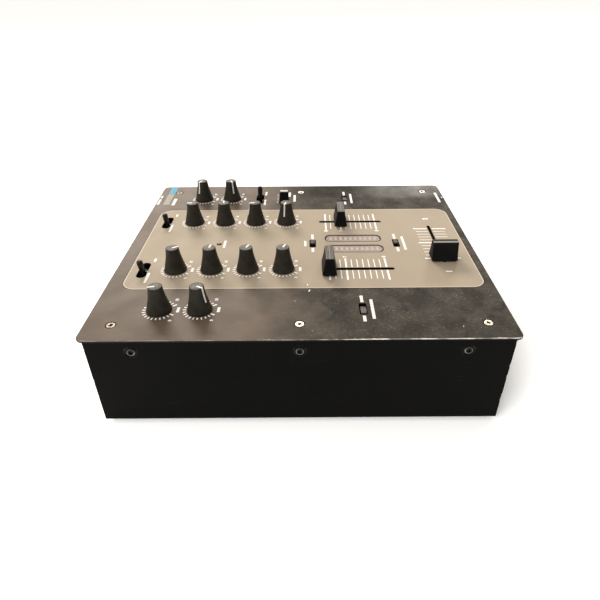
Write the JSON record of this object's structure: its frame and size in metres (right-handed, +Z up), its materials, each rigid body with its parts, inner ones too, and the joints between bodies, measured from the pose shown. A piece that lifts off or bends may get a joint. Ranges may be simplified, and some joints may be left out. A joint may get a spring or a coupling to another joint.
{
  "type": "dj mixer",
  "caption": "Two-channel table-top audio mixer: a flat steel case with rotary controls, toggles, slide switches, linear faders and rear phono sockets.",
  "frame": {"origin": "centre of the flat underside of the case; the rubber feet hang below it", "axes": "+X to the player's right, +Y towards the rear panel, +Z up"},
  "size_m": [0.254, 0.291, 0.0959],
  "materials": {
    "plate_paint": "satin dark charcoal paint with a printed warm grey panel",
    "case_paint": "fine-textured black paint",
    "plated_steel": "bright plated screw heads",
    "black_steel": "black oxide",
    "rubber": "matt black rubber",
    "knob_plastic": "matt black with a grey satin top and a white pointer",
    "lever_plastic": "smooth black",
    "cap_plastic": "matt black with a grey ribbed top",
    "track_steel": "plain zinc-plated steel",
    "button_plastic": "grey moulded plastic",
    "meter_acrylic": "smoky pink-grey window",
    "led_lens": "dark red lens, unlit",
    "circuit_board": "green solder resist with grey component bodies",
    "socket_block": "nickel cups on a black moulding",
    "nickel": "nickel plate",
    "switch_plastic": "black moulding",
    "brass": "plain brass"
  },
  "bodies": {
    "case": {"faceplate": "plate_paint", "deck_frame": "case_paint", "bottom_shell": "case_paint", "face_screw_1": "plated_steel", "face_screw_2": "plated_steel", "face_screw_3": "plated_steel", "face_screw_4": "plated_steel", "face_screw_5": "plated_steel", "face_screw_6": "plated_steel", "side_screw_1": "black_steel", "side_screw_2": "black_steel", "side_screw_3": "black_steel", "side_screw_4": "black_steel", "side_screw_5": "black_steel", "side_screw_6": "black_steel", "foot_front_left": "rubber", "foot_front_right": "rubber", "foot_rear_left": "rubber", "foot_rear_right": "rubber", "meter_window_left": "meter_acrylic", "meter_window_right": "meter_acrylic", "power_led": "led_lens", "control_board": "circuit_board", "power_board": "circuit_board", "channel_1_fader_track": "track_steel", "channel_2_fader_track": "track_steel", "crossfader_track": "track_steel", "cue_mix_fader_track": "track_steel", "rca_output_block": "socket_block", "rca_input_block": "socket_block", "microphone_jack": "nickel", "phones_jack": "nickel", "power_inlet": "switch_plastic", "power_switch_body": "switch_plastic", "ground_post": "brass"},
    "master_level_knob": {"master_level_knob": "knob_plastic"},
    "booth_level_knob": {"booth_level_knob": "knob_plastic"},
    "channel_1_gain_knob": {"channel_1_gain_knob": "knob_plastic"},
    "channel_1_treble_knob": {"channel_1_treble_knob": "knob_plastic"},
    "channel_1_middle_knob": {"channel_1_middle_knob": "knob_plastic"},
    "channel_1_bass_knob": {"channel_1_bass_knob": "knob_plastic"},
    "channel_2_gain_knob": {"channel_2_gain_knob": "knob_plastic"},
    "channel_2_treble_knob": {"channel_2_treble_knob": "knob_plastic"},
    "channel_2_middle_knob": {"channel_2_middle_knob": "knob_plastic"},
    "channel_2_bass_knob": {"channel_2_bass_knob": "knob_plastic"},
    "microphone_level_knob": {"microphone_level_knob": "knob_plastic"},
    "phones_level_knob": {"phones_level_knob": "knob_plastic"},
    "channel_1_input_toggle": {"channel_1_input_toggle": "lever_plastic"},
    "channel_2_input_toggle": {"channel_2_input_toggle": "lever_plastic"},
    "cue_select_toggle": {"cue_select_toggle": "lever_plastic"},
    "channel_1_fader_cap": {"channel_1_fader_cap": "cap_plastic"},
    "channel_2_fader_cap": {"channel_2_fader_cap": "cap_plastic"},
    "crossfader_cap": {"crossfader_cap": "cap_plastic"},
    "cue_mix_fader_cap": {"cue_mix_fader_cap": "cap_plastic"},
    "meter_source_switch_button": {"meter_source_switch_button": "button_plastic"},
    "crossfader_reverse_switch_button": {"crossfader_reverse_switch_button": "button_plastic"},
    "fader_start_1_switch_button": {"fader_start_1_switch_button": "button_plastic"},
    "fader_start_2_switch_button": {"fader_start_2_switch_button": "button_plastic"},
    "power_rocker": {"power_rocker": "switch_plastic"},
    "ground_nut": {"ground_nut": "nickel"}
  },
  "joints": [
    {"name": "master_level_turn", "type": "hinge", "parent": "case", "child": "master_level_knob", "pos_m": [-0.094, 0.0942, 0.073], "axis": [0, 0, -1], "range_deg": [-138, 162]},
    {"name": "booth_level_turn", "type": "hinge", "parent": "case", "child": "booth_level_knob", "pos_m": [-0.094, 0.067, 0.073], "axis": [0, 0, -1], "range_deg": [0, 300]},
    {"name": "channel_1_gain_turn", "type": "hinge", "parent": "case", "child": "channel_1_gain_knob", "pos_m": [-0.0413, 0.0942, 0.073], "axis": [0, 0, -1], "range_deg": [-300, 0]},
    {"name": "channel_1_treble_turn", "type": "hinge", "parent": "case", "child": "channel_1_treble_knob", "pos_m": [-0.0413, 0.067, 0.073], "axis": [0, 0, -1], "range_deg": [-250, 50]},
    {"name": "channel_1_middle_turn", "type": "hinge", "parent": "case", "child": "channel_1_middle_knob", "pos_m": [-0.0413, 0.0398, 0.073], "axis": [0, 0, -1], "range_deg": [-265, 35]},
    {"name": "channel_1_bass_turn", "type": "hinge", "parent": "case", "child": "channel_1_bass_knob", "pos_m": [-0.0413, 0.0126, 0.073], "axis": [0, 0, -1], "range_deg": [-263, 37]},
    {"name": "channel_2_gain_turn", "type": "hinge", "parent": "case", "child": "channel_2_gain_knob", "pos_m": [0.0413, 0.0942, 0.073], "axis": [0, 0, -1], "range_deg": [-150, 150]},
    {"name": "channel_2_treble_turn", "type": "hinge", "parent": "case", "child": "channel_2_treble_knob", "pos_m": [0.0413, 0.067, 0.073], "axis": [0, 0, -1], "range_deg": [-235, 65]},
    {"name": "channel_2_middle_turn", "type": "hinge", "parent": "case", "child": "channel_2_middle_knob", "pos_m": [0.0413, 0.0398, 0.073], "axis": [0, 0, -1], "range_deg": [-135, 165]},
    {"name": "channel_2_bass_turn", "type": "hinge", "parent": "case", "child": "channel_2_bass_knob", "pos_m": [0.0413, 0.0126, 0.073], "axis": [0, 0, -1], "range_deg": [-75, 225]},
    {"name": "microphone_level_turn", "type": "hinge", "parent": "case", "child": "microphone_level_knob", "pos_m": [0.094, 0.0942, 0.073], "axis": [0, 0, -1], "range_deg": [-90, 210]},
    {"name": "phones_level_turn", "type": "hinge", "parent": "case", "child": "phones_level_knob", "pos_m": [0.094, 0.067, 0.073], "axis": [0, 0, -1], "range_deg": [-35, 265]},
    {"name": "channel_1_input_throw", "type": "hinge", "parent": "case", "child": "channel_1_input_toggle", "pos_m": [-0.0413, 0.1185, 0.064], "axis": [0, 1, 0], "range_deg": [0, 30]},
    {"name": "channel_2_input_throw", "type": "hinge", "parent": "case", "child": "channel_2_input_toggle", "pos_m": [0.0413, 0.1185, 0.064], "axis": [0, 1, 0], "range_deg": [0, 30]},
    {"name": "cue_select_throw", "type": "hinge", "parent": "case", "child": "cue_select_toggle", "pos_m": [0.094, 0.0398, 0.064], "axis": [0, 1, 0], "range_deg": [-30, 0]},
    {"name": "channel_1_fader_slide", "type": "slide", "parent": "case", "child": "channel_1_fader_cap", "axis": [0, 1, 0], "range_m": [-0.044, 0]},
    {"name": "channel_2_fader_slide", "type": "slide", "parent": "case", "child": "channel_2_fader_cap", "axis": [0, 1, 0], "range_m": [-0.0308, 0.0132]},
    {"name": "crossfader_slide", "type": "slide", "parent": "case", "child": "crossfader_cap", "axis": [1, 0, 0], "range_m": [0, 0.052]},
    {"name": "cue_mix_fader_slide", "type": "slide", "parent": "case", "child": "cue_mix_fader_cap", "axis": [1, 0, 0], "range_m": [0, 0.02]},
    {"name": "meter_source_switch_slide", "type": "slide", "parent": "case", "child": "meter_source_switch_button", "axis": [1, 0, 0], "range_m": [-0.0044, 0]},
    {"name": "crossfader_reverse_switch_slide", "type": "slide", "parent": "case", "child": "crossfader_reverse_switch_button", "axis": [1, 0, 0], "range_m": [-0.0044, 0]},
    {"name": "fader_start_1_switch_slide", "type": "slide", "parent": "case", "child": "fader_start_1_switch_button", "axis": [1, 0, 0], "range_m": [0, 0.0044]},
    {"name": "fader_start_2_switch_slide", "type": "slide", "parent": "case", "child": "fader_start_2_switch_button", "axis": [1, 0, 0], "range_m": [0, 0.0044]},
    {"name": "power_rocker_tilt", "type": "hinge", "parent": "case", "child": "power_rocker", "pos_m": [-0.084, 0.1357, 0.04], "axis": [0, 0, 1], "range_deg": [-18, 0]},
    {"name": "ground_nut_turn", "type": "hinge", "parent": "case", "child": "ground_nut", "pos_m": [0.056, 0.142, 0.04], "axis": [0, 1, 0], "range_deg": [0, 360]}
  ]
}
